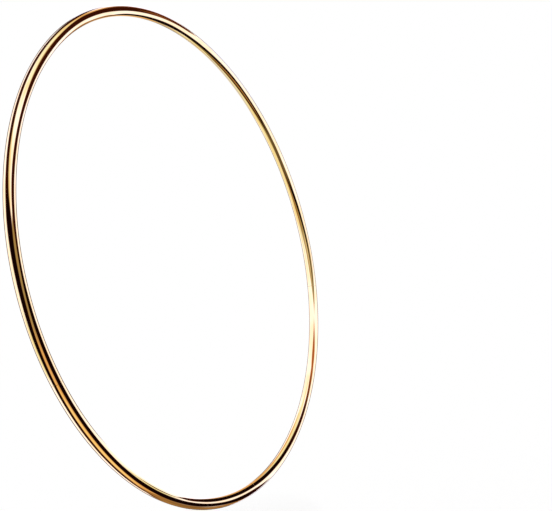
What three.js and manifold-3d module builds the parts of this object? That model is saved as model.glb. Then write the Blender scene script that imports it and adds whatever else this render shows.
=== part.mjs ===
// A large acrobat's hoop: a plain round tube, rolled to a circle in equal sections. The sections butt
// together over curved inner sleeves, and countersunk screws on the hoop's back face hold each joint.
// Millimetres, +Z up. The origin is the hoop's centre, the hoop stands in the XZ plane and its axis is Y.

import * as THREE from 'three';
import { mergeVertices } from 'three/addons/utils/BufferGeometryUtils.js';
import Module from 'manifold-3d';

const wasm = await Module();
wasm.setup();

// Driving dimensions of the hoop and its tube
const hoopDiameter = 1800;
const tubeDiameter = 38.1;
const tubeWall = 3.2;
const sectionCount = 5;
const seamGap = 0.3;
const seamChamfer = 0.6;

// Driving dimensions of the sleeves inside the joints
const sleeveWall = 6;
const sleeveClearance = 0.3;

// Driving dimensions of the countersunk screws
const screwDiameter = 6;
const screwLength = 10;
const screwTipChamfer = 0.8;
const headDiameter = 12;
const headRim = 0.3;
const headRecess = 0.2;
const socketAcrossFlats = 4;
const socketDepth = 2.2;
const screwClearance = 0.3;
const screwPlaces = [30, 80];

// How finely round shapes are divided
const sectionSteps = 20;
const sleeveHalfSteps = 2;
const tubeSides = 16;
const screwSides = 12;
const socketSides = 6;

// How far a cutting tool runs past the surface that it cuts
const overrun = 5;

// Sizes that follow from the driving dimensions
const tubeRadius = tubeDiameter / 2;
const boreRadius = tubeRadius - tubeWall;
const ringRadius = hoopDiameter / 2 - tubeRadius;
const sectionAngle = 2 * Math.PI / sectionCount;
const seamAngle = seamGap / 2 / ringRadius;
const sleeveRadius = boreRadius - sleeveClearance;
const sleeveHalfAngle = sleeveHalfSteps * sectionAngle / sectionSteps;
const bottomAngle = -Math.PI / 2;

// Materials
const gold = new THREE.MeshStandardMaterial({ color: 0xd6a04c, roughness: 0.12, metalness: 1 });
const millAluminium = new THREE.MeshStandardMaterial({ color: 0xb9bcbf, roughness: 0.35, metalness: 1 });
const stainless = new THREE.MeshStandardMaterial({ color: 0xc9c8c4, roughness: 0.25, metalness: 1 });

// The centreline of the hoop between two angles, turning from +X towards +Z
class RingArc extends THREE.Curve {
  constructor(radius, fromAngle, toAngle) {
    super();
    this.radius = radius;
    this.fromAngle = fromAngle;
    this.toAngle = toAngle;
  }

  getPoint(share, target = new THREE.Vector3()) {
    const angle = THREE.MathUtils.lerp(this.fromAngle, this.toAngle, share);
    return target.set(this.radius * Math.cos(angle), 0, this.radius * Math.sin(angle));
  }
}

// A closed regular outline, with a corner on each axis where the sides divide by four
function roundOutline(radius, sides, Outline) {
  const points = [];
  for (let i = 0; i < sides; i += 1) {
    const angle = 2 * Math.PI * i / sides;
    points.push(new THREE.Vector2(radius * Math.cos(angle), radius * Math.sin(angle)));
  }
  return new Outline(points);
}

// A curved length of hollow round tube, closed at its ends by the faces of its wall
function rolledTube(outerRadius, innerRadius, fromAngle, toAngle, steps) {
  const outline = roundOutline(outerRadius, tubeSides, THREE.Shape);
  outline.holes.push(roundOutline(innerRadius, tubeSides, THREE.Path));
  const extrudePath = new RingArc(ringRadius, fromAngle, toAngle);
  return new THREE.ExtrudeGeometry(outline, { steps, extrudePath, bevelEnabled: false });
}

// A closed geometry made a solid that can be cut
function toSolid(geometry) {
  const bare = geometry.clone();
  bare.deleteAttribute('normal');
  bare.deleteAttribute('uv');
  const merged = mergeVertices(bare);
  const corners = merged.index.array;
  const triVerts = [];
  for (let i = 0; i < corners.length; i += 3) {
    const [a, b, c] = corners.subarray(i, i + 3);
    if (a !== b && b !== c && c !== a) {
      triVerts.push(a, b, c);
    }
  }
  const vertProperties = new Float32Array(merged.attributes.position.array);
  const mesh = new wasm.Mesh({ numProp: 3, vertProperties, triVerts: new Uint32Array(triVerts) });
  return new wasm.Manifold(mesh);
}

// A cut solid made a geometry again
function toGeometry(solid) {
  const { vertProperties, triVerts } = solid.getMesh();
  const geometry = new THREE.BufferGeometry();
  geometry.setAttribute('position', new THREE.BufferAttribute(vertProperties, 3));
  geometry.setIndex(new THREE.BufferAttribute(triVerts, 1));
  geometry.computeVertexNormals();
  return geometry;
}

// Screws: each lies along Y, with its head just under the tube's back surface

const headRadius = headDiameter / 2;
const shankRadius = screwDiameter / 2;
const crownDrop = tubeRadius - Math.sqrt(tubeRadius ** 2 - headRadius ** 2);
const headTop = tubeRadius - crownDrop - headRecess;
const coneTop = headTop - headRim;
const coneBottom = coneTop - (headRadius - shankRadius);
const screwTip = headTop - screwLength;

function screwGeometry() {
  const profile = [
    new THREE.Vector2(0, screwTip),
    new THREE.Vector2(shankRadius - screwTipChamfer, screwTip),
    new THREE.Vector2(shankRadius, screwTip + screwTipChamfer),
    new THREE.Vector2(shankRadius, coneBottom),
    new THREE.Vector2(headRadius, coneTop),
    new THREE.Vector2(headRadius, headTop),
    new THREE.Vector2(0, headTop),
  ];
  const body = toSolid(new THREE.LatheGeometry(profile, screwSides));
  const socketRadius = socketAcrossFlats / 2 / Math.cos(Math.PI / socketSides);
  const socketHeight = socketDepth + overrun;
  const socket = new THREE.CylinderGeometry(socketRadius, socketRadius, socketHeight, socketSides);
  socket.translate(0, headTop - socketDepth + socketHeight / 2, 0);
  return toGeometry(body.subtract(toSolid(socket)));
}

// The hole that a screw fills, with its clearance all round, from the bore out through the wall
function screwHole() {
  const holeRadius = shankRadius + screwClearance;
  const mouthRadius = headRadius + screwClearance;
  const profile = [
    new THREE.Vector2(0, 0),
    new THREE.Vector2(holeRadius, 0),
    new THREE.Vector2(holeRadius, coneBottom - screwClearance),
    new THREE.Vector2(mouthRadius, coneTop - screwClearance),
    new THREE.Vector2(mouthRadius, tubeRadius + overrun),
    new THREE.Vector2(0, tubeRadius + overrun),
  ];
  return toSolid(new THREE.LatheGeometry(profile, screwSides));
}

// The angles of the screws on one side of a seam
const screwAngles = screwPlaces.map((place) => place / ringRadius);

function placeOnRing(angle) {
  return new THREE.Vector3(ringRadius * Math.cos(angle), 0, ringRadius * Math.sin(angle));
}

function cutScrewHoles(solid, angles) {
  let cut = solid;
  for (const angle of angles) {
    cut = cut.subtract(screwHole().translate(placeOnRing(angle).toArray()));
  }
  return cut;
}

// Sections: the first seam of each lies on local +X, and its screws hold it at both ends

// A thin cone that breaks the outer edge of a section's end, lying round the tube at an angle
function edgeBreak(angle) {
  const profile = [
    new THREE.Vector2(tubeRadius - seamChamfer, 0),
    new THREE.Vector2(tubeRadius + overrun, -seamChamfer - overrun),
    new THREE.Vector2(tubeRadius + overrun, seamChamfer + overrun),
    new THREE.Vector2(tubeRadius - seamChamfer, 0),
  ];
  const cutter = new THREE.LatheGeometry(profile, tubeSides);
  cutter.rotateX(Math.PI / 2);
  cutter.translate(ringRadius, 0, 0);
  cutter.rotateY(-angle);
  return toSolid(cutter);
}

function sectionGeometry() {
  const fromAngle = seamAngle;
  const toAngle = sectionAngle - seamAngle;
  const tube = toSolid(rolledTube(tubeRadius, boreRadius, fromAngle, toAngle, sectionSteps));
  const edged = tube.subtract(edgeBreak(fromAngle)).subtract(edgeBreak(toAngle));
  const holeAngles = screwAngles.flatMap((angle) => [angle, sectionAngle - angle]);
  return toGeometry(cutScrewHoles(edged, holeAngles));
}

// Sleeves: each follows the bore and lies half in one section and half in the next

function sleeveGeometry() {
  const innerRadius = sleeveRadius - sleeveWall;
  const steps = 2 * sleeveHalfSteps;
  const tube = toSolid(rolledTube(sleeveRadius, innerRadius, -sleeveHalfAngle, sleeveHalfAngle, steps));
  const holeAngles = screwAngles.flatMap((angle) => [-angle, angle]);
  return toGeometry(cutScrewHoles(tube, holeAngles));
}

// The hoop, put together: a seam at the bottom and the middle of a section at the top

function namedMesh(name, geometry, material) {
  const mesh = new THREE.Mesh(geometry, material);
  mesh.name = name;
  return mesh;
}

const hoop = new THREE.Group();
const section = sectionGeometry();
const sleeve = sleeveGeometry();
const screw = screwGeometry();

for (let i = 0; i < sectionCount; i += 1) {
  const number = i + 1;
  const joint = new THREE.Group();
  joint.rotation.y = -(bottomAngle + i * sectionAngle);
  joint.add(namedMesh(`tube_section_${number}`, section, gold));
  joint.add(namedMesh(`joint_sleeve_${number}`, sleeve, millAluminium));
  const sides = [-1, 1];
  const angles = sides.flatMap((side) => screwAngles.map((angle) => side * angle));
  angles.forEach((angle, place) => {
    const fastener = namedMesh(`joint_screw_${number}_${place + 1}`, screw, stainless);
    fastener.position.copy(placeOnRing(angle));
    joint.add(fastener);
  });
  hoop.add(joint);
}

export default hoop;
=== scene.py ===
"""A large circus hoop of polished gold tube, in five rolled sections screwed over inner sleeves."""

import math

import bpy
import numpy as np
from mathutils import Matrix, Vector


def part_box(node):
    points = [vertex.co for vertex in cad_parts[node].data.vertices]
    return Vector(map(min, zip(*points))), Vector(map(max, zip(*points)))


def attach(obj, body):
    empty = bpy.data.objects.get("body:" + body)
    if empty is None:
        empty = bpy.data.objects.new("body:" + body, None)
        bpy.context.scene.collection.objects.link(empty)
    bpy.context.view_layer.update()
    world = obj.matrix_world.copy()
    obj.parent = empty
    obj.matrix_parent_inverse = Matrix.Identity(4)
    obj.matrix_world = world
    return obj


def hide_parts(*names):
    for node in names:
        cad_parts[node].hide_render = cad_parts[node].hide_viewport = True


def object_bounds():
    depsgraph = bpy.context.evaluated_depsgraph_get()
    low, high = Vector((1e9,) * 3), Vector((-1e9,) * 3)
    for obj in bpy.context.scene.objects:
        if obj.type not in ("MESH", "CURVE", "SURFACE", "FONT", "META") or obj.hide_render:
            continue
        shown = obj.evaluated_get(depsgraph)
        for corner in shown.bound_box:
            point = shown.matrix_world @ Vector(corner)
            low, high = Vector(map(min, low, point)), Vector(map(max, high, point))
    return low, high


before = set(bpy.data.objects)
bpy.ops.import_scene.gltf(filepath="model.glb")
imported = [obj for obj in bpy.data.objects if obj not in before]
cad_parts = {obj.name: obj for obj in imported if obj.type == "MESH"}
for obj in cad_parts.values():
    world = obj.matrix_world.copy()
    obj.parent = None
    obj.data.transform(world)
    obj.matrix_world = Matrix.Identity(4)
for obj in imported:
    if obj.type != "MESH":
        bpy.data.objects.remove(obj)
cad_box = [list(corner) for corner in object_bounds()]

# The camera
# It stands level with the hoop's centre, in front of it and to its left. It is near enough for the hoop's
# near side to look half as thick again as its far side, and it is tilted, as the photograph is.

camera_place = Vector((-2.9601, -1.9695, -0.0050))
camera_heading = math.radians(-61.005)
camera_pitch = math.radians(88.677)
camera_roll = math.radians(-13.938)
camera_lens = 64.478
sensor_width = 36.0

camera = bpy.data.objects.new("camera", bpy.data.cameras.new("camera"))
bpy.context.scene.collection.objects.link(camera)
camera.data.sensor_width = sensor_width
camera.data.lens = camera_lens
turned_to = Matrix.Rotation(camera_heading, 4, "Z") @ Matrix.Rotation(camera_pitch, 4, "X")
camera.matrix_world = Matrix.Translation(camera_place) @ turned_to @ Matrix.Rotation(camera_roll, 4, "Z")
bpy.context.scene.camera = camera

# Tube sections
# Five lengths of round aluminium tube, rolled to the hoop's curve, mirror polished and lacquered gold.
# Their ends are cut square with the edge lightly rounded, and each has four countersunk holes in its back.

tube_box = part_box("tube_section_1")
tube_radius = (tube_box[1][1] - tube_box[0][1]) / 2
hoop_radius = (cad_box[1][0] - cad_box[0][0]) / 2
ring_radius = hoop_radius - tube_radius
full_turn = 2 * math.pi
section_count = 5
section_angle = full_turn / section_count
section_length = section_angle * ring_radius
bottom_angle = -math.pi / 2
tube_wall = 0.0032
seam_gap = 0.0003
end_round = 0.0007
end_round_steps = 6
tube_sides = 96
tube_steps = 120
tube_sharp_angle = math.radians(25)
merge_distance = 1e-7


def new_tree(name, **kinds):
    """A Geometry Nodes tree with named inputs and a geometry in and out: the tree, inputs and output."""
    tree = bpy.data.node_groups.new(name, "GeometryNodeTree")
    tree.interface.new_socket("Geometry", in_out="INPUT", socket_type="NodeSocketGeometry")
    for key, kind in kinds.items():
        label = key.replace("_", " ")
        tree.interface.new_socket(label, in_out="INPUT", socket_type="NodeSocket" + kind)
    tree.interface.new_socket("Geometry", in_out="OUTPUT", socket_type="NodeSocketGeometry")
    return tree, tree.nodes.new("NodeGroupInput").outputs, tree.nodes.new("NodeGroupOutput").inputs[0]


def add(tree, kind, inputs=None, **settings):
    """A node with its settings, and with inputs that are values or other nodes' outputs."""
    made = tree.nodes.new(kind)
    for name, value in settings.items():
        setattr(made, name, value)
    for key, value in (inputs or {}).items():
        if isinstance(value, bpy.types.NodeSocket):
            tree.links.new(value, made.inputs[key])
        else:
            made.inputs[key].default_value = value
    return made


def add_math(tree, operation, *values):
    """The result of one sum on numbers or sockets."""
    return add(tree, "ShaderNodeMath", dict(enumerate(values)), operation=operation).outputs[0]


def turned_tree():
    """Turns an outline, given as points at a distance and a height, round the Y axis."""
    tree, given, result = new_tree("Turned round an axis", Sides="Int")
    rows = add(tree, "GeometryNodeAttributeDomainSize", {"Geometry": given["Geometry"]})
    columns = add(tree, "FunctionNodeIntegerMath", {0: given["Sides"], 1: 1}, operation="ADD")
    grid_inputs = {"Vertices X": rows.outputs["Point Count"], "Vertices Y": columns.outputs[0]}
    grid = add(tree, "GeometryNodeMeshGrid", grid_inputs).outputs["Mesh"]
    index = add(tree, "GeometryNodeInputIndex")
    counts = {0: index.outputs[0], 1: columns.outputs[0]}
    row = add(tree, "FunctionNodeIntegerMath", counts, operation="DIVIDE_FLOOR")
    column = add(tree, "FunctionNodeIntegerMath", counts, operation="MODULO")
    place = add(tree, "GeometryNodeInputPosition")
    sample_inputs = {"Geometry": given["Geometry"], "Value": place.outputs[0], "Index": row.outputs[0]}
    sample = add(tree, "GeometryNodeSampleIndex", sample_inputs, data_type="FLOAT_VECTOR", domain="POINT")
    point = add(tree, "ShaderNodeSeparateXYZ", {0: sample.outputs[0]})
    share = add_math(tree, "DIVIDE", column.outputs[0], given["Sides"])
    angle = add_math(tree, "MULTIPLY", share, full_turn)
    across = add_math(tree, "MULTIPLY", point.outputs["X"], add_math(tree, "COSINE", angle))
    deep = add_math(tree, "MULTIPLY", point.outputs["X"], add_math(tree, "SINE", angle))
    spot = add(tree, "ShaderNodeCombineXYZ", {"X": across, "Y": point.outputs["Y"], "Z": deep})
    bent = add(tree, "GeometryNodeSetPosition", {"Geometry": grid, "Position": spot.outputs[0]})
    merge_inputs = {"Geometry": bent.outputs[0], "Distance": merge_distance}
    merged = add(tree, "GeometryNodeMergeByDistance", merge_inputs)
    tree.links.new(merged.outputs[0], result)
    return tree


def rolled_tree():
    """Rolls what lies along the Y axis round the hoop, from an angle on."""
    tree, given, result = new_tree("Rolled to the hoop", Ring_radius="Float", Angle="Float")
    place = add(tree, "ShaderNodeSeparateXYZ", {0: add(tree, "GeometryNodeInputPosition").outputs[0]})
    turn = add_math(tree, "DIVIDE", place.outputs["Y"], given["Ring radius"])
    angle = add_math(tree, "ADD", turn, given["Angle"])
    out = add_math(tree, "ADD", place.outputs["X"], given["Ring radius"])
    along_x = add_math(tree, "MULTIPLY", out, add_math(tree, "COSINE", angle))
    along_z = add_math(tree, "MULTIPLY", out, add_math(tree, "SINE", angle))
    along_y = add_math(tree, "MULTIPLY", place.outputs["Z"], -1.0)
    spot = add(tree, "ShaderNodeCombineXYZ", {"X": along_x, "Y": along_y, "Z": along_z}).outputs[0]
    bent = add(tree, "GeometryNodeSetPosition", {"Geometry": given["Geometry"], "Position": spot})
    tree.links.new(bent.outputs[0], result)
    return tree


turned = turned_tree()
rolled = rolled_tree()


def grouped(tree, group, inputs):
    """The geometry that another tree makes, used as one node."""
    return add(tree, "GeometryNodeGroup", inputs, node_tree=group).outputs[0]


def smooth_but_sharp_edges(tree, geometry, sharp_angle):
    """Smooth faces, with the edges kept sharp that bend by more than an angle."""
    smooth = add(tree, "GeometryNodeSetShadeSmooth", {"Geometry": geometry}, domain="FACE")
    bend = add(tree, "GeometryNodeInputMeshEdgeAngle").outputs[0]
    sharp = add_math(tree, "GREATER_THAN", bend, sharp_angle)
    edged_inputs = {"Geometry": smooth.outputs[0], "Selection": sharp, "Shade Smooth": False}
    return add(tree, "GeometryNodeSetShadeSmooth", edged_inputs, domain="EDGE").outputs[0]


def finished(tree, geometry, material, result):
    """Ends a tree: the copies are made real and the material is set."""
    real = add(tree, "GeometryNodeRealizeInstances", {"Geometry": geometry})
    painted = add(tree, "GeometryNodeSetMaterial", {"Geometry": real.outputs[0], "Material": material})
    tree.links.new(painted.outputs[0], result)


def cut_away(tree, solid, cutter):
    """A solid with another one cut out of it."""
    meshes = {"Mesh 1": solid, "Mesh 2": cutter}
    cut = add(tree, "GeometryNodeMeshBoolean", meshes, operation="DIFFERENCE", solver="MANIFOLD")
    return cut.outputs["Mesh"]


def drilled_tube_tree():
    """A wall's outline turned and rolled into a tube, and drilled for the screws."""
    kinds = {"Ring_radius": "Float", "Angle": "Float", "Sides": "Int", "Hole_sides": "Int"}
    objects = {"Hole": "Object", "Places": "Object", "Material": "Material"}
    tree, given, result = new_tree("Drilled tube", **objects, **kinds)
    straight = grouped(tree, turned, {"Geometry": given["Geometry"], "Sides": given["Sides"]})
    rolled_inputs = {"Geometry": straight, "Ring radius": given["Ring radius"], "Angle": given["Angle"]}
    tube = grouped(tree, rolled, rolled_inputs)
    hole = add(tree, "GeometryNodeObjectInfo", {"Object": given["Hole"]}).outputs["Geometry"]
    cutter = grouped(tree, turned, {"Geometry": hole, "Sides": given["Hole sides"]})
    places = add(tree, "GeometryNodeObjectInfo", {"Object": given["Places"]}).outputs["Geometry"]
    copies = add(tree, "GeometryNodeInstanceOnPoints", {"Points": places, "Instance": cutter})
    cutters = add(tree, "GeometryNodeRealizeInstances", {"Geometry": copies.outputs[0]})
    drilled = cut_away(tree, tube, cutters.outputs[0])
    edged = smooth_but_sharp_edges(tree, drilled, tube_sharp_angle)
    finished(tree, edged, given["Material"], result)
    return tree


def outline_object(name, points):
    """Points in a row, as the geometry that a tree starts from."""
    mesh = bpy.data.meshes.new(name)
    mesh.from_pydata([(distance, height, 0) for distance, height in points], [], [])
    made = bpy.data.objects.new(name, mesh)
    bpy.context.scene.collection.objects.link(made)
    return made


def made_piece(name, source, tree, **inputs):
    """What a tree makes of a source object, as a plain mesh piece at the origin."""
    modifier = source.modifiers.new("shape", "NODES")
    modifier.node_group = tree
    for item in tree.interface.items_tree:
        label = item.name.replace(" ", "_")
        if item.in_out == "INPUT" and label in inputs:
            modifier[item.identifier] = inputs[label]
    evaluated = source.evaluated_get(bpy.context.evaluated_depsgraph_get())
    mesh = bpy.data.meshes.new_from_object(evaluated)
    mesh.name = name
    piece = bpy.data.objects.new(name, mesh)
    bpy.context.scene.collection.objects.link(piece)
    bpy.data.objects.remove(source)
    return piece


def wall_outline(outer, inner, start, end, rounding, steps):
    """The outline of a tube's wall, as distances from its axis and heights along it, closed on itself."""
    places = [start + rounding + (end - start - 2 * rounding) * i / steps for i in range(steps + 1)]
    angles = [math.pi / 2 * i / end_round_steps for i in range(end_round_steps + 1)]
    drops = [(rounding * (1 - math.cos(angle)), rounding * (1 - math.sin(angle))) for angle in angles]
    points = [(outer, place) for place in places]
    points += [(outer - inwards, end - along) for inwards, along in drops[1:]]
    points.append((inner, end))
    points += [(inner, place) for place in reversed(places)]
    points.append((inner, start))
    points += [(outer - inwards, start + along) for along, inwards in drops]
    return points


def exact_round_normals(mesh):
    """Shades the tube's round outside as that of a true ring, so that it mirrors without facets."""
    edge_margin = 5e-6
    count = len(mesh.loops)
    corner_normals = np.empty(count * 3, dtype=np.float32)
    mesh.corner_normals.foreach_get("vector", corner_normals)
    corner_normals = corner_normals.reshape(-1, 3)
    places = np.empty(len(mesh.vertices) * 3, dtype=np.float32)
    mesh.vertices.foreach_get("co", places)
    places = places.reshape(-1, 3)
    flat = np.hypot(places[:, 0], places[:, 2])
    outward = places / flat[:, None]
    outward[:, 1] = 0
    spokes = places - outward * ring_radius
    distance = np.linalg.norm(spokes, axis=1)
    on_outside = distance > tube_radius - edge_margin
    corners = np.empty(count, dtype=np.int32)
    mesh.loops.foreach_get("vertex_index", corners)
    starts = np.empty(len(mesh.polygons), dtype=np.int32)
    mesh.polygons.foreach_get("loop_start", starts)
    whole_face = np.minimum.reduceat(on_outside[corners], starts)
    sizes = np.diff(np.append(starts, count))
    chosen = np.repeat(whole_face, sizes)
    true_normals = spokes[corners] / distance[corners][:, None]
    corner_normals[chosen] = true_normals[chosen]
    mesh.normals_split_custom_set(corner_normals.tolist())


# The places of the screws, which the holes in the tubes and the sleeves share
screw_nodes = sorted(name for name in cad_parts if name.startswith("joint_screw_"))
screw_boxes = [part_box(name) for name in screw_nodes]
screw_middles = [(low + high) / 2 for low, high in screw_boxes]
screw_places = bpy.data.objects.new("screw_places", bpy.data.meshes.new("screw_places"))
screw_places.data.from_pydata([(middle.x, 0, middle.z) for middle in screw_middles], [], [])
bpy.context.scene.collection.objects.link(screw_places)

screw_low, screw_high = screw_boxes[0]
screw_tip = screw_low.y
head_top = screw_high.y
head_radius = 0.006
shank_radius = 0.003
head_rim = 0.0003
hole_clearance = 0.0002
cutter_overrun = 0.005
hole_sides = 64
cone_top = head_top - head_rim
cone_bottom = cone_top - (head_radius - shank_radius)

hole_outline = [
    (0, 0),
    (shank_radius + hole_clearance, 0),
    (shank_radius + hole_clearance, cone_bottom - hole_clearance),
    (head_radius + hole_clearance, cone_top - hole_clearance),
    (head_radius + hole_clearance, tube_radius + cutter_overrun),
    (0, tube_radius + cutter_overrun),
]
hole = outline_object("screw_hole", hole_outline)


def new_material(name):
    """A material with nodes: the material, its tree and its shader."""
    made = bpy.data.materials.new(name)
    made.use_nodes = True
    return made, made.node_tree, made.node_tree.nodes["Principled BSDF"]


def way_from_y_axis(tree, place):
    """The way from the Y axis straight out to a place."""
    return add(tree, "ShaderNodeCombineXYZ", {"X": place["X"], "Z": place["Z"]}).outputs[0]


def length_of(tree, way):
    """How long a way is."""
    return add(tree, "ShaderNodeVectorMath", {0: way}, operation="LENGTH").outputs["Value"]


def place_on_tube(tree):
    """Where a point of the hoop lies: metres along it from the top, outwards, and to the tube's back."""
    object_place = add(tree, "ShaderNodeTexCoord").outputs["Object"]
    place = add(tree, "ShaderNodeSeparateXYZ", {0: object_place}).outputs
    along = add_math(tree, "MULTIPLY", add_math(tree, "ARCTAN2", place["X"], place["Z"]), ring_radius)
    distance = length_of(tree, way_from_y_axis(tree, place))
    return along, add_math(tree, "SUBTRACT", distance, ring_radius), place["Y"]


def tube_noise(tree, place, along_scale, round_scale, detail, roughness=0.5):
    """Noise that follows the tube, with a scale along it and another round it, as a share."""
    scales = (along_scale, round_scale, round_scale)
    scaled = [add_math(tree, "MULTIPLY", part, scale) for part, scale in zip(place, scales)]
    vector = add(tree, "ShaderNodeCombineXYZ", dict(enumerate(scaled))).outputs[0]
    inputs = {"Vector": vector, "Scale": 1.0, "Detail": detail, "Roughness": roughness}
    return add(tree, "ShaderNodeTexNoise", inputs).outputs["Fac"]


def graded(tree, value, low, high, first=0.0, last=1.0):
    """A value between two limits, graded smoothly from a first number to a last."""
    inputs = {"Value": value, 1: low, 2: high, 3: first, 4: last}
    return add(tree, "ShaderNodeMapRange", inputs, interpolation_type="SMOOTHSTEP").outputs[0]


def mixed_colour(tree, share, first, second):
    """Two colours mixed by a share. The node takes them in sockets 6 and 7 and gives one in output 2."""
    return add(tree, "ShaderNodeMix", {"Factor": share, 6: first, 7: second}, data_type="RGBA").outputs[2]


def near_seam(tree, place):
    """How far a point is along the tube from the nearest seam, in metres."""
    from_seam = add_math(tree, "ADD", place[0], section_length / 2 * section_count)
    return add_math(tree, "PINGPONG", from_seam, section_length / 2)


polish_roughness = 0.035
smudge_roughness = 0.06
scuff_roughness = 0.22
grime_roughness = 0.3
scuffed_from_share = 0.7
scuffed_full_share = 0.97
grime_near = 0.0006
grime_far = 0.0016
grime_wander = 0.004
wave_depth = 0.0003
hairline_depth = 0.00001
hairline_share = 0.25
lacquer_share = 0.3
lacquer_roughness = 0.03


def polished_gold():
    """Mirror polished tube under gold lacquer, with faint waves, hairlines, smudges and grimy seams.

    The outermost line of the hoop, which rests on the ground, is scuffed.
    """
    material, tree, shader = new_material("polished_gold")
    place = place_on_tube(tree)
    rich, pale, dark = (0.95, 0.62, 0.25, 1), (0.98, 0.69, 0.33, 1), (0.30, 0.15, 0.045, 1)

    clouds = tube_noise(tree, place, along_scale=9, round_scale=30, detail=3)
    tint = mixed_colour(tree, graded(tree, clouds, 0.35, 0.65), rich, pale)
    specks = tube_noise(tree, place, along_scale=160, round_scale=160, detail=3)
    ragged = add_math(tree, "MULTIPLY_ADD", specks, grime_wander, near_seam(tree, place))
    grimy = graded(tree, ragged, grime_near, grime_far, 1.0, 0.0)
    tree.links.new(mixed_colour(tree, grimy, tint, dark), shader.inputs["Base Color"])

    touches = tube_noise(tree, place, along_scale=22, round_scale=60, detail=5, roughness=0.6)
    smudges = graded(tree, touches, 0.48, 0.72, 0.0, smudge_roughness)
    scratches = tube_noise(tree, place, along_scale=35, round_scale=900, detail=4, roughness=0.7)
    scuffs = graded(tree, scratches, 0.55, 0.68, 0.0, scuff_roughness)
    outermost = graded(tree, place[1], tube_radius * scuffed_from_share, tube_radius * scuffed_full_share)
    rough = add_math(tree, "ADD", smudges, add_math(tree, "MULTIPLY", outermost, scuffs))
    rough = add_math(tree, "ADD", rough, polish_roughness)
    rough = add_math(tree, "MULTIPLY_ADD", grimy, grime_roughness, rough)
    tree.links.new(rough, shader.inputs["Roughness"])

    waves = tube_noise(tree, place, along_scale=14, round_scale=25, detail=1)
    wavy_inputs = {"Height": waves, "Strength": 1.0, "Distance": wave_depth}
    wavy = add(tree, "ShaderNodeBump", wavy_inputs).outputs[0]
    hairlines = tube_noise(tree, place, along_scale=12, round_scale=2500, detail=2)
    fine_inputs = {"Height": hairlines, "Strength": hairline_share, "Distance": hairline_depth}
    fine = add(tree, "ShaderNodeBump", {**fine_inputs, "Normal": wavy}).outputs[0]
    tree.links.new(fine, shader.inputs["Normal"])
    tree.links.new(wavy, shader.inputs["Coat Normal"])

    shader.inputs["Metallic"].default_value = 1.0
    shader.inputs["Coat Weight"].default_value = lacquer_share
    shader.inputs["Coat Roughness"].default_value = lacquer_roughness
    return material


gold = polished_gold()
drilled_tube = drilled_tube_tree()
for number in range(1, section_count + 1):
    wall = (tube_radius, tube_radius - tube_wall, seam_gap / 2, section_length - seam_gap / 2)
    source = outline_object("wall", wall_outline(*wall, end_round, tube_steps))
    section = made_piece(
        f"gold_tube_{number}", source, drilled_tube,
        Ring_radius=ring_radius, Angle=bottom_angle + (number - 1) * section_angle,
        Sides=tube_sides, Hole_sides=hole_sides, Hole=hole, Places=screw_places, Material=gold,
    )
    exact_round_normals(section.data)
    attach(section, "root")
    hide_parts(f"tube_section_{number}")

# Inner sleeves
# Five thick aluminium tubes, turned to slide into the bore, rolled to the same curve and drilled. Each
# spans a seam, half in one section and half in the next, and takes the screws. A lead-in at each end helps
# it find the bore.

sleeve_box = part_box("joint_sleeve_1")
sleeve_radius = (sleeve_box[1].y - sleeve_box[0].y) / 2
sleeve_half_angle = math.asin(sleeve_box[1].x / (ring_radius + sleeve_radius))
sleeve_half = sleeve_half_angle * ring_radius
sleeve_wall = 0.006
sleeve_lead = 0.0012
sleeve_sides = 64
sleeve_steps = 24
tool_step = 0.0005
groove_depth = 0.00002
groove_share = 0.5


def turned_aluminium():
    """Plain aluminium with the rings that the lathe left, duller where it slid in and out of a tube."""
    material, tree, shader = new_material("turned_aluminium")
    place = place_on_tube(tree)
    bright, dull = (0.80, 0.80, 0.81, 1), (0.60, 0.61, 0.63, 1)

    rubs = tube_noise(tree, place, along_scale=30, round_scale=240, detail=4, roughness=0.6)
    tint = mixed_colour(tree, graded(tree, rubs, 0.45, 0.7), bright, dull)
    tree.links.new(tint, shader.inputs["Base Color"])
    streaks = tube_noise(tree, place, along_scale=900, round_scale=12, detail=3)
    tree.links.new(graded(tree, streaks, 0.3, 0.7, 0.22, 0.42), shader.inputs["Roughness"])

    rings = add_math(tree, "SINE", add_math(tree, "MULTIPLY", place[0], full_turn / tool_step))
    height = add_math(tree, "ADD", rings, streaks)
    groove_inputs = {"Height": height, "Strength": groove_share, "Distance": groove_depth}
    tree.links.new(add(tree, "ShaderNodeBump", groove_inputs).outputs[0], shader.inputs["Normal"])
    shader.inputs["Metallic"].default_value = 1.0
    return material


aluminium = turned_aluminium()
for number in range(1, section_count + 1):
    wall = (sleeve_radius, sleeve_radius - sleeve_wall, -sleeve_half, sleeve_half)
    source = outline_object("wall", wall_outline(*wall, sleeve_lead, sleeve_steps))
    sleeve = made_piece(
        f"inner_sleeve_{number}", source, drilled_tube,
        Ring_radius=ring_radius, Angle=bottom_angle + (number - 1) * section_angle,
        Sides=sleeve_sides, Hole_sides=hole_sides, Hole=hole, Places=screw_places, Material=aluminium,
    )
    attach(sleeve, "root")
    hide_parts(f"joint_sleeve_{number}")

# Joint screws
# Twenty M6 countersunk screws of stainless steel, cold headed, with rolled threads and a hexagon socket.
# They go in from the hoop's back and sit just under the tube's surface, each stopped at a turn of its own.

thread_pitch = 0.001
thread_depth = 0.00055
thread_rows = 6
thread_root_share = 0.5
tip_chamfer = 0.0008
head_edge_round = 0.00012
socket_flats = 0.004
socket_depth = 0.0022
socket_sides = 6
socket_lead = 0.0002
socket_lead_reach = 1.15
drill_point_share = 0.3
screw_sides = 48
screw_sharp_angle = math.radians(30)
screw_turn_seed = 7
shank_tolerance = 1e-5


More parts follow.
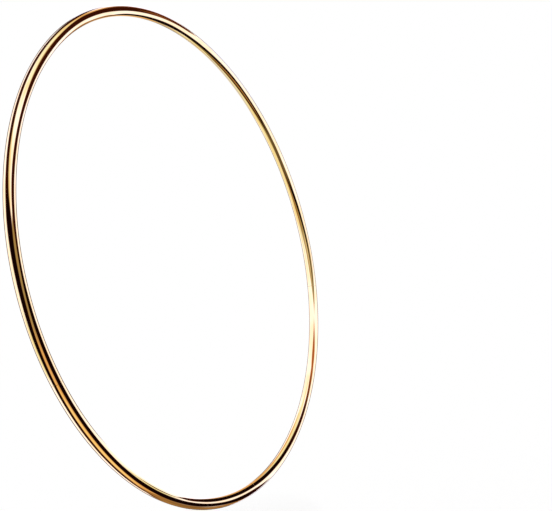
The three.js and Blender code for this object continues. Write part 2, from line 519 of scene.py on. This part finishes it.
def screw_outline():
    """A countersunk screw from its tip to the middle of its head, with rows for its thread."""
    thread_top = cone_bottom - thread_pitch / 2
    thread_bottom = screw_tip + tip_chamfer
    thread_length = thread_top - thread_bottom
    steps = round(thread_length / thread_pitch * thread_rows)
    points = [(0, screw_tip), (shank_radius - tip_chamfer, screw_tip)]
    points += [(shank_radius, thread_bottom + thread_length * i / steps) for i in range(steps + 1)]
    points += [(shank_radius, cone_bottom), (head_radius, cone_top)]
    points += [(head_radius, head_top - head_edge_round), (head_radius - head_edge_round, head_top)]
    points.append((0, head_top))
    return points


def socket_outline():
    """The hexagon of the socket, from the drill's point at its bottom up past the head."""
    corner_radius = socket_flats / 2 / math.cos(math.pi / socket_sides)
    bottom = head_top - socket_depth
    return [
        (0, bottom - corner_radius * drill_point_share),
        (corner_radius, bottom),
        (corner_radius, head_top + cutter_overrun),
        (0, head_top + cutter_overrun),
    ]


def socket_mouth_outline():
    """The round lead-in that takes the corners off the socket's mouth."""
    mouth_radius = socket_flats / 2 / math.cos(math.pi / socket_sides) + socket_lead
    above = head_top + cutter_overrun
    return [(0, head_top - mouth_radius), (mouth_radius, head_top), (mouth_radius, above), (0, above)]


def threaded_tree():
    """Rolls a thread into a turned shank, deepest midway between its crests and faded out at both ends."""
    kinds = {"Pitch": "Float", "Depth": "Float", "Radius": "Float", "Bottom": "Float", "Top": "Float"}
    tree, given, result = new_tree("Threaded", **kinds)
    position = add(tree, "GeometryNodeInputPosition").outputs[0]
    place = add(tree, "ShaderNodeSeparateXYZ", {0: position}).outputs
    angle = add_math(tree, "ARCTAN2", place["Z"], place["X"])
    climbed = add_math(tree, "DIVIDE", place["Y"], given["Pitch"])
    turn = add_math(tree, "ADD", climbed, add_math(tree, "DIVIDE", angle, full_turn))
    wave = add_math(tree, "DIVIDE", add_math(tree, "PINGPONG", turn, thread_root_share), thread_root_share)
    run_in = add_math(tree, "ADD", given["Bottom"], given["Pitch"])
    run_out = add_math(tree, "SUBTRACT", given["Top"], given["Pitch"])
    starts = graded(tree, place["Y"], given["Bottom"], run_in)
    ends = graded(tree, place["Y"], run_out, given["Top"], 1.0, 0.0)
    full_depth = add_math(tree, "MULTIPLY", wave, given["Depth"])
    depth = add_math(tree, "MULTIPLY", full_depth, add_math(tree, "MULTIPLY", starts, ends))
    way = way_from_y_axis(tree, place)
    outward = add(tree, "ShaderNodeVectorMath", {0: way}, operation="NORMALIZE").outputs["Vector"]
    shift_inputs = {0: outward, "Scale": add_math(tree, "MULTIPLY", depth, -1.0)}
    shift = add(tree, "ShaderNodeVectorMath", shift_inputs, operation="SCALE").outputs["Vector"]
    near_inputs = {"A": length_of(tree, way), "B": given["Radius"], "Epsilon": shank_tolerance}
    on_shank = add(tree, "FunctionNodeCompare", near_inputs, operation="EQUAL").outputs[0]
    moved_inputs = {"Geometry": given["Geometry"], "Selection": on_shank, "Offset": shift}
    tree.links.new(add(tree, "GeometryNodeSetPosition", moved_inputs).outputs[0], result)
    return tree


threaded = threaded_tree()


def screws_tree():
    """A screw turned, threaded and given its socket, with a copy in each place at a turn of its own."""
    kinds = {"Sides": "Int", "Socket_sides": "Int", "Seed": "Int"}
    lengths = {"Pitch": "Float", "Depth": "Float", "Radius": "Float", "Bottom": "Float", "Top": "Float"}
    objects = {"Socket": "Object", "Mouth": "Object", "Places": "Object", "Material": "Material"}
    tree, given, result = new_tree("Joint screws", **objects, **kinds, **lengths)
    blank = grouped(tree, turned, {"Geometry": given["Geometry"], "Sides": given["Sides"]})
    body = grouped(tree, threaded, {"Geometry": blank, **{key: given[key] for key in lengths}})
    socket = add(tree, "GeometryNodeObjectInfo", {"Object": given["Socket"]}).outputs["Geometry"]
    hexagon = grouped(tree, turned, {"Geometry": socket, "Sides": given["Socket sides"]})
    mouth = add(tree, "GeometryNodeObjectInfo", {"Object": given["Mouth"]}).outputs["Geometry"]
    lead = grouped(tree, turned, {"Geometry": mouth, "Sides": given["Sides"]})
    scale = (socket_lead_reach, 1.0, socket_lead_reach)
    wider = add(tree, "GeometryNodeTransform", {"Geometry": hexagon, "Scale": scale}).outputs[0]
    corners_only = add(tree, "GeometryNodeMeshBoolean", operation="INTERSECT", solver="MANIFOLD")
    tree.links.new(wider, corners_only.inputs["Mesh 2"])
    tree.links.new(lead, corners_only.inputs["Mesh 2"])
    hollow = cut_away(tree, body, hexagon)
    opened = cut_away(tree, hollow, corners_only.outputs["Mesh"])
    edged = smooth_but_sharp_edges(tree, opened, screw_sharp_angle)
    own_place = add(tree, "GeometryNodeInputPosition").outputs[0]
    mark_inputs = {"Geometry": edged, "Name": "own_place", "Value": own_place}
    marked = add(
        tree, "GeometryNodeStoreNamedAttribute", mark_inputs, data_type="FLOAT_VECTOR", domain="POINT",
    ).outputs[0]
    places = add(tree, "GeometryNodeObjectInfo", {"Object": given["Places"]}).outputs["Geometry"]
    # Sockets 2 and 3 hold the least and the greatest turn
    any_turn = add(tree, "FunctionNodeRandomValue", {"Seed": given["Seed"]}, data_type="FLOAT")
    any_turn.inputs[2].default_value = 0.0
    any_turn.inputs[3].default_value = full_turn
    turn = add(tree, "ShaderNodeCombineXYZ", {"Y": any_turn.outputs[1]}).outputs[0]
    copy_inputs = {"Points": places, "Instance": marked, "Rotation": turn}
    copies = add(tree, "GeometryNodeInstanceOnPoints", copy_inputs).outputs[0]
    finished(tree, copies, given["Material"], result)
    return tree


ring_step = 0.0004
ring_depth = 0.00001
speckle_share = 0.3
speckle_scale = 260.0
dark_rim_share = 0.9


def stainless_steel():
    """Bright stainless steel with fine header rings, painted shade deep in its socket and a darker head
    rim.
    """
    material, tree, shader = new_material("stainless_steel")
    own = add(tree, "ShaderNodeAttribute", attribute_name="own_place").outputs["Vector"]
    place = add(tree, "ShaderNodeSeparateXYZ", {0: own}).outputs
    distance = length_of(tree, way_from_y_axis(tree, place))
    object_place = add(tree, "ShaderNodeTexCoord").outputs["Object"]
    speckle_inputs = {"Vector": object_place, "Scale": speckle_scale, "Detail": 3.0}
    speckle = add(tree, "ShaderNodeTexNoise", speckle_inputs).outputs["Fac"]

    # The dark colour is painted shade in the socket, and a plain darker tone at the head's rim.
    bright, dull, shade_and_rim_dark = (0.60, 0.59, 0.57, 1), (0.53, 0.52, 0.50, 1), (0.12, 0.10, 0.08, 1)
    handled = mixed_colour(tree, graded(tree, speckle, 0.4, 0.62), bright, dull)
    # Painted shade: the socket is painted darker towards its bottom, and the head darker towards its outer
    # rim.
    socket_bottom, socket_top = head_top - socket_depth, head_top - socket_depth / 4
    deep = graded(tree, place["Y"], socket_bottom, socket_top, 1.0, 0.0)
    at_rim = graded(tree, distance, head_radius * dark_rim_share, head_radius, 0.0, 0.6)
    socket_shade_and_dark_rim = add_math(tree, "MAXIMUM", deep, at_rim)
    tree.links.new(mixed_colour(tree, socket_shade_and_dark_rim, handled, shade_and_rim_dark), shader.inputs["Base Color"])

    tree.links.new(graded(tree, speckle, 0.35, 0.7, 0.18, 0.3), shader.inputs["Roughness"])
    rings = add_math(tree, "SINE", add_math(tree, "MULTIPLY", distance, full_turn / ring_step))
    height = add_math(tree, "MULTIPLY_ADD", speckle, speckle_share, rings)
    bump = add(tree, "ShaderNodeBump", {"Height": height, "Strength": 1.0, "Distance": ring_depth})
    tree.links.new(bump.outputs[0], shader.inputs["Normal"])
    shader.inputs["Metallic"].default_value = 1.0
    return material


steel = stainless_steel()
socket = outline_object("socket", socket_outline())
socket_mouth = outline_object("socket_mouth", socket_mouth_outline())
screws = made_piece(
    "joint_screws", outline_object("screw", screw_outline()), screws_tree(),
    Sides=screw_sides, Socket_sides=socket_sides, Seed=screw_turn_seed, Socket=socket,
    Mouth=socket_mouth, Places=screw_places, Material=steel, Pitch=thread_pitch, Depth=thread_depth,
    Radius=shank_radius, Bottom=screw_tip + tip_chamfer, Top=cone_bottom,
)
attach(screws, "root")
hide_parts(*screw_nodes)

# The floor and the white background
# A plain white floor that keeps the hoop's soft shadow, under a world that is white for the camera and
# for mirror images. The world and one wide lamp share the light on the floor, so that it renders as white
# as the world.

lamp_share = 0.3
lamp_tilt = math.radians(32)
lamp_heading = math.radians(-120)
lamp_spread = math.radians(14)
floor_half = 14.0
floor_height = -1.4

floor_sides = ((-1, -1), (1, -1), (1, 1), (-1, 1))
floor_corners = [(x * floor_half, y * floor_half, floor_height) for x, y in floor_sides]
stage_floor = bpy.data.objects.new("floor", bpy.data.meshes.new("floor"))
stage_floor.data.from_pydata(floor_corners, [], [(0, 1, 2, 3)])
bpy.context.scene.collection.objects.link(stage_floor)
stage_floor.visible_glossy = False

white_floor = bpy.data.materials.new("white_floor")
white_floor.use_nodes = True
floor_tree = white_floor.node_tree
floor_tree.nodes.clear()
floor_surface = add(floor_tree, "ShaderNodeBsdfDiffuse", {"Color": (1, 1, 1, 1)})
add(floor_tree, "ShaderNodeOutputMaterial", {"Surface": floor_surface.outputs[0]})
stage_floor.data.materials.append(white_floor)

world = bpy.data.worlds.new("studio")
bpy.context.scene.world = world
world.use_nodes = True
background = world.node_tree.nodes["Background"]
background.inputs["Color"].default_value = (1, 1, 1, 1)
ray = add(world.node_tree, "ShaderNodeLightPath").outputs
seen = add_math(world.node_tree, "MAXIMUM", ray["Is Camera Ray"], ray["Is Glossy Ray"])
seen = add_math(world.node_tree, "MAXIMUM", seen, ray["Is Transmission Ray"])
brightness = add_math(world.node_tree, "MULTIPLY_ADD", seen, lamp_share, 1 - lamp_share)
world.node_tree.links.new(brightness, background.inputs["Strength"])

lamp = bpy.data.objects.new("lamp", bpy.data.lights.new("lamp", "SUN"))
bpy.context.scene.collection.objects.link(lamp)
lamp.rotation_euler = (lamp_tilt, 0, lamp_heading + math.pi / 2)
lamp.data.angle = lamp_spread
lamp.data.energy = lamp_share * math.pi / math.cos(lamp_tilt)
lamp.visible_glossy = False

bpy.context.scene.view_settings.view_transform = "Standard"

# The light tunnel
# A polished tube shows only what stands round it. So a round tunnel of bright white cloth follows it, and
# shows in mirror images alone. Strips of gold, brown and black cloth hang along the tunnel and give the
# tube its lines, which swing from one side of it to the other on their way round.

tunnel_radius = 0.1
tunnel_steps = 240
tunnel_sides = 48
tunnel_start = math.radians(-25)

# A colour ramp holds a strip's turn, place and half width, all in degrees, as shares of these spans. The
# place is shifted first, so that it may lie below 0.
turn_span = 360
place_span = 720
place_shift = 180
width_span = 180

white = (1.35, 1.5, 2.3)
plain = (1.0, 1.0, 1.0)
yellow_gold = (0.98, 1.12, 1.05)
pale_gold = (1.05, 1.3, 1.5)
silver_white = (0.75, 0.95, 1.9)
silver_gold = (0.63, 0.82, 1.3)
warm_gold = (0.98, 0.98, 0.8)
bright_orange = (1.05, 0.9, 0.55)
dull_gold = (0.65, 0.64, 0.6)
orange = (0.82, 0.57, 0.32)
pale_olive = (0.75, 0.72, 0.62)
olive = (0.46, 0.45, 0.34)
bronze = (0.4, 0.36, 0.2)
brown = (0.38, 0.23, 0.1)
deep_brown = (0.28, 0.17, 0.075)
dark_olive = (0.4, 0.34, 0.2)
shadow_olive = (0.14, 0.12, 0.08)
red_brown = (0.45, 0.17, 0.07)
rust = (0.2, 0.07, 0.025)
dark_brown = (0.04, 0.025, 0.015)
dark_red = (0.04, 0.007, 0.003)
black = (0.006, 0.001, 0.001)

tunnel_cloth = bpy.data.materials.new("tunnel_cloth")
tunnel_cloth.use_nodes = True
cloth_tree = tunnel_cloth.node_tree
cloth_tree.nodes.clear()
cloth_object = add(cloth_tree, "ShaderNodeTexCoord").outputs["Object"]
cloth_place = add(cloth_tree, "ShaderNodeSeparateXYZ", {0: cloth_object}).outputs
cloth_turn = add_math(cloth_tree, "ARCTAN2", cloth_place["Z"], cloth_place["X"])
turn_from_start = add_math(cloth_tree, "SUBTRACT", cloth_turn, tunnel_start)
turns_from_start = add_math(cloth_tree, "DIVIDE", turn_from_start, full_turn)
round_hoop_share = add_math(cloth_tree, "FRACT", turns_from_start)
cloth_distance = length_of(cloth_tree, way_from_y_axis(cloth_tree, cloth_place))
cloth_outward = add_math(cloth_tree, "SUBTRACT", cloth_distance, ring_radius)
round_tube_turn = add_math(cloth_tree, "ARCTAN2", cloth_place["Y"], cloth_outward)
round_tube = add_math(cloth_tree, "DEGREES", round_tube_turn)


def hung(cloth, light, softness_share, *points):
    """Cloth with one more strip hung over it, as light that goes from cloth to tube.

    Each point of the strip says how far round the hoop it is from the tunnel's start, where its middle is
    round the tube, and half its width, in degrees. Round the tube, 0 is outwards from the hoop, 90 is its
    back, 180 is inwards and 270 is its front.
    """
    ramp = add(cloth_tree, "ShaderNodeValToRGB", {"Fac": round_hoop_share})
    ramp.color_ramp.interpolation = "CARDINAL"
    stops = ramp.color_ramp.elements
    stops.remove(stops[1])
    for i, (turn, place, half_width) in enumerate(points):
        stop = stops[0] if i == 0 else stops.new(turn / turn_span)
        stop.position = turn / turn_span
        stop.color = ((place + place_shift) / place_span, half_width / width_span, 0, 1)
    held = add(cloth_tree, "ShaderNodeSeparateColor", {"Color": ramp.outputs["Color"]}).outputs
    middle = add_math(cloth_tree, "MULTIPLY_ADD", held["Red"], place_span, -place_shift)
    half_width = add_math(cloth_tree, "MULTIPLY", held["Green"], width_span)
    from_middle = add_math(cloth_tree, "SUBTRACT", round_tube, middle)
    from_middle = add_math(cloth_tree, "PINGPONG", from_middle, turn_span / 2)
    inner = add_math(cloth_tree, "MULTIPLY", half_width, 1 - softness_share)
    outer = add_math(cloth_tree, "MULTIPLY", half_width, 1 + softness_share)
    cover = graded(cloth_tree, from_middle, inner, outer, 1.0, 0.0)
    return mixed_colour(cloth_tree, cover, cloth, (*light, 1))


cloth = add(cloth_tree, "ShaderNodeCombineColor", dict(zip(("Red", "Green", "Blue"), white))).outputs[0]

# The thin dark outline of the tube, with light in its middle that the hoop's other face shows
cloth = hung(cloth, dark_brown, 0.08, (0, 27, 62), (60, 32, 62), (88, 48, 62), (98, 80, 32),
             (122, 114, 32), (135, 99, 62), (150, 116, 62), (180, 133, 62), (205, 137, 62),
             (240, 126, 62), (252, 90, 32), (286, 56, 33), (296, 52, 24), (308, 58, 60), (330, 38, 62),
             (360, 27, 62))
cloth = hung(cloth, plain, 0.2, (0, 27, 32), (60, 32, 32), (100, 55, 32), (127, 89, 32), (150, 116, 32),
             (180, 133, 32), (205, 137, 32), (250, 122, 32), (274, 98, 30), (278, 102, 22), (286, 95, 22),
             (290, 83, 31), (310, 56, 32), (330, 38, 32), (360, 27, 32))

# The right side and the top right
cloth = hung(cloth, yellow_gold, 0.2, (8, 150, 0), (25, 145, 20), (40, 138, 36), (60, 146, 26),
             (85, 148, 24), (98, 150, 0))
cloth = hung(cloth, plain, 0.3, (54, 76, 0), (62, 80, 15), (72, 86, 16), (82, 92, 15), (92, 99, 0))
cloth = hung(cloth, silver_gold, 0.3, (54, 110, 0), (62, 112, 17), (70, 116, 20), (78, 121, 20),
             (86, 125, 0))
cloth = hung(cloth, silver_white, 0.3, (54, 322, 0), (62, 326, 16), (72, 332, 17), (80, 336, 16),
             (86, 340, 0))
cloth = hung(cloth, dull_gold, 0.3, (76, 118, 0), (82, 121, 18), (88, 123, 20), (92, 127, 20),
             (96, 133, 28), (101, 136, 29), (107, 140, 0))
cloth = hung(cloth, orange, 0.3, (96, 133, 0), (101, 136, 26), (107, 136, 36), (112, 134, 38),
             (116, 134, 33), (121, 136, 20), (126, 140, 0))
cloth = hung(cloth, brown, 0.2, (108, 152, 0), (115, 160, 24), (121, 161, 26), (128, 172, 24),
             (138, 166, 12), (150, 160, 0))
cloth = hung(cloth, olive, 0.2, (0, 225, 0), (10, 232, 36), (18, 232, 50), (25, 216, 48), (33, 205, 0))
cloth = hung(cloth, pale_olive, 0.4, (8, 216, 0), (15, 221, 10), (22, 214, 9), (27, 208, 0))
cloth = hung(cloth, shadow_olive, 0.4, (2, 240, 0), (10, 244, 10), (20, 248, 15), (27, 242, 17),
             (34, 234, 0))
cloth = hung(cloth, bronze, 0.15, (20, 205, 0), (32, 212, 37), (45, 213, 36), (60, 208, 42),
             (75, 196, 36), (83, 184, 22), (89, 174, 0))
cloth = hung(cloth, brown, 0.3, (22, 190, 0), (27, 183, 12), (35, 181, 12), (41, 180, 8), (46, 182, 0))
cloth = hung(cloth, dark_red, 0.2, (50, 204, 0), (58, 196, 14), (70, 178, 12), (76, 168, 10),
             (81, 160, 0))
cloth = hung(cloth, black, 0.2, (15, 246, 0), (20, 248, 12), (26, 242, 20), (32, 230, 26), (40, 212, 26),
             (48, 223, 27), (60, 233, 20), (70, 234, 21), (80, 214, 26), (87, 203, 28), (95, 192, 35),
             (99, 184, 31), (104, 177, 25), (110, 168, 22), (118, 160, 0))
cloth = hung(cloth, shadow_olive, 0.3, (35, 221, 0), (41, 214, 24), (48, 223, 25), (56, 230, 0))
cloth = hung(cloth, brown, 0.3, (54, 216, 0), (60, 212, 8), (70, 203, 12), (77, 184, 7), (81, 176, 0))

# The gold and brown lines of the top, the left side and the bottom
cloth = hung(cloth, rust, 0.2, (86, 318, 0), (89, 320, 30), (98, 327, 33), (106, 325, 27), (112, 325, 25),
             (122, 327, 18), (131, 335, 0))
cloth = hung(cloth, orange, 0.25, (116, 335, 0), (130, 336, 20), (138, 325, 14), (145, 320, 0))
cloth = hung(cloth, warm_gold, 0.25, (130, 330, 0), (138, 324, 22), (146, 319, 22), (152, 314, 0))
cloth = hung(cloth, pale_gold, 0.3, (138, 322, 0), (143, 319, 17), (149, 315, 24), (158, 310, 20),
             (166, 308, 0))
cloth = hung(cloth, brown, 0.6, (138, 300, 0), (146, 288, 13), (158, 279, 9), (166, 274, 0))
cloth = hung(cloth, warm_gold, 0.6, (164, 348, 0), (176, 338, 20), (184, 322, 20), (190, 308, 0))
cloth = hung(cloth, brown, 0.15, (200, 293, 0), (206, 300, 16), (213, 318, 20), (222, 318, 0))
cloth = hung(cloth, orange, 0.15, (206, 303, 0), (214, 318, 26), (225, 323, 29), (240, 327, 32),
             (255, 336, 34), (265, 350, 30), (272, 360, 0))
cloth = hung(cloth, bright_orange, 0.5, (222, 330, 0), (232, 330, 13), (250, 335, 13), (258, 342, 0))
cloth = hung(cloth, brown, 0.15, (256, 362, 0), (265, 366, 46), (275, 367, 36), (290, 357, 26),
             (302, 357, 0))
cloth = hung(cloth, deep_brown, 0.4, (264, 350, 0), (271, 352, 24), (278, 350, 26), (284, 345, 0))
cloth = hung(cloth, yellow_gold, 0.2, (302, 180, 0), (310, 190, 32), (325, 190, 34), (336, 190, 16),
             (344, 190, 0))
cloth = hung(cloth, orange, 0.15, (282, 165, 0), (290, 156, 26), (300, 149, 33), (308, 148, 32),
             (316, 153, 20), (327, 158, 15), (335, 160, 0))
cloth = hung(cloth, yellow_gold, 0.3, (248, 246, 0), (258, 249, 16), (266, 251, 12), (273, 253, 0))
cloth = hung(cloth, yellow_gold, 0.4, (206, 38, 0), (213, 38, 18), (222, 40, 18), (224, 40, 0))

# The dark lines of the top, the left side and the bottom, black in their middle where they're broad
cloth = hung(cloth, dark_red, 0.15, (87, 312, 0), (91, 310, 18), (100, 299, 31), (112, 288, 38),
             (120, 286, 36), (130, 285, 38), (142, 262, 33), (155, 251, 31), (168, 252, 25),
             (180, 260, 26), (194, 260, 23), (206, 264, 27), (220, 271, 32), (240, 277, 29),
             (255, 290, 30), (270, 293, 31), (280, 297, 29), (287, 300, 27), (292, 308, 29),
             (297, 317, 38), (303, 325, 32), (309, 330, 0))
cloth = hung(cloth, rust, 0.3, (92, 303, 0), (97, 300, 14), (101, 297, 18), (105, 293, 8), (108, 292, 0))
cloth = hung(cloth, black, 0.4, (194, 260, 0), (206, 264, 20), (220, 271, 26), (240, 277, 24),
             (255, 290, 24), (280, 297, 24), (288, 301, 22), (297, 316, 28), (303, 322, 0))
cloth = hung(cloth, dark_red, 0.2, (118, 18, 0), (130, 14, 26), (140, 4, 20), (148, 6, 23), (155, 9, 24),
             (168, 6, 24), (178, 0, 24), (186, -10, 31), (191, -20, 43), (202, -22, 37), (212, -8, 30),
             (225, 3, 22), (240, 7, 19), (255, 15, 15), (268, 22, 0))
cloth = hung(cloth, black, 0.4, (182, -6, 0), (190, -18, 30), (202, -20, 28), (214, -6, 22), (228, 4, 12),
             (240, 7, 0))
cloth = hung(cloth, dark_red, 0.15, (271, 228, 0), (275, 223, 22), (280, 213, 31), (286, 204, 41),
             (296, 207, 38), (305, 218, 42), (315, 240, 37), (325, 254, 35), (335, 254, 27),
             (341, 246, 20), (347, 240, 0))
cloth = hung(cloth, black, 0.4, (278, 212, 0), (286, 201, 32), (305, 218, 34), (316, 241, 28),
             (326, 254, 0))
cloth = hung(cloth, dark_brown, 0.3, (254, 234, 0), (261, 236, 8), (268, 237, 7), (274, 238, 0))
cloth = hung(cloth, dark_olive, 0.3, (189, 288, 0), (192, 288, 11), (197, 290, 16), (203, 294, 13),
             (212, 306, 10), (218, 312, 0))
cloth = hung(cloth, rust, 0.15, (333, 253, 0), (339, 248, 22), (346, 238, 22), (352, 230, 0))
cloth = hung(cloth, red_brown, 0.15, (340, 247, 0), (347, 235, 26), (352, 224, 23), (360, 215, 0))

cloth_light = add(cloth_tree, "ShaderNodeEmission", {"Color": cloth, "Strength": 1.0})
add(cloth_tree, "ShaderNodeOutputMaterial", {"Surface": cloth_light.outputs[0]})


def tunnel_tree():
    """A straight round tunnel, rolled to the hoop."""
    kinds = {"Sides": "Int", "Ring_radius": "Float", "Angle": "Float"}
    tree, given, result = new_tree("Tunnel", Material="Material", **kinds)
    straight = grouped(tree, turned, {"Geometry": given["Geometry"], "Sides": given["Sides"]})
    rolled_inputs = {"Geometry": straight, "Ring radius": given["Ring radius"], "Angle": given["Angle"]}
    finished(tree, grouped(tree, rolled, rolled_inputs), given["Material"], result)
    return tree


tunnel_length = full_turn * ring_radius
tunnel_wall = [(tunnel_radius, tunnel_length * i / tunnel_steps) for i in range(tunnel_steps + 1)]
tunnel = made_piece(
    "light_tunnel", outline_object("tunnel", tunnel_wall), tunnel_tree(),
    Sides=tunnel_sides, Ring_radius=ring_radius, Angle=tunnel_start, Material=tunnel_cloth,
)
tunnel.visible_camera = False
tunnel.visible_diffuse = False
tunnel.visible_transmission = False
tunnel.visible_volume_scatter = False
tunnel.visible_shadow = False

# The outlines and points that only the trees needed
for helper in (hole, screw_places, socket, socket_mouth):
    bpy.data.objects.remove(helper)
